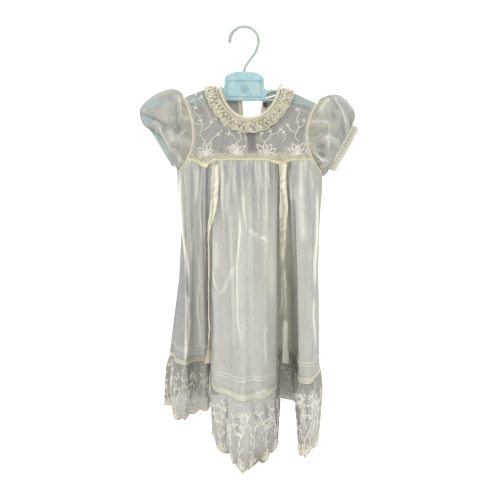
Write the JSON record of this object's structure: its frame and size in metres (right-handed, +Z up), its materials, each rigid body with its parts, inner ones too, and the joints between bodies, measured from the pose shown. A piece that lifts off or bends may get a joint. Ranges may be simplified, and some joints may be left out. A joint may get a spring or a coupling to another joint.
{
  "type": "christening gown on a baby hanger",
  "caption": "Sheer white christening gown with puffed sleeves, embroidered yoke, ribbons and scalloped flounce, hung open-hemmed on a small moulded hanger with a hook.",
  "frame": {"origin": "top of the inside of the hanger's hook, where it rests on a rail or peg", "axes": "+Z up; the gown's front faces -Y; +X to the right as seen from the front"},
  "size_m": [0.3726, 0.3034, 0.6534],
  "materials": {
    "voile": "sheer fine plain weave, matte",
    "embroidered_organdy": "sheer organdy with raised white embroidery",
    "cream_binding": "folded double cloth, yellowed, stitched",
    "cream_edging": "dense embroidered scallops, yellowed",
    "cream_lace": "gathered lace frill",
    "satin_ribbon": "soft satin, creased",
    "hanger_plastic": "pale blue moulded plastic, satin gloss",
    "hanger_hook": "pale coated wire",
    "dark_metal": "darkened, rusty"
  },
  "bodies": {
    "root": {"back_snap": "dark_metal", "band_back": "cream_binding", "band_front": "cream_binding", "cuff_left": "cream_binding", "cuff_right": "cream_binding", "flounce_back": "embroidered_organdy", "flounce_front": "embroidered_organdy", "hanger_body": "hanger_plastic", "hanger_hook": "hanger_hook", "lace_collar": "cream_lace", "neck_hook": "dark_metal", "neckband": "cream_binding", "placket_left": "cream_binding", "placket_right": "cream_binding", "ribbon_left": "satin_ribbon", "ribbon_right": "satin_ribbon", "skirt_back": "voile", "skirt_front": "voile", "sleeve_left": "voile", "sleeve_right": "voile", "yoke_back_left": "embroidered_organdy", "yoke_back_right": "embroidered_organdy", "yoke_edging": "cream_edging", "yoke_front": "embroidered_organdy"}
  },
  "joints": []
}
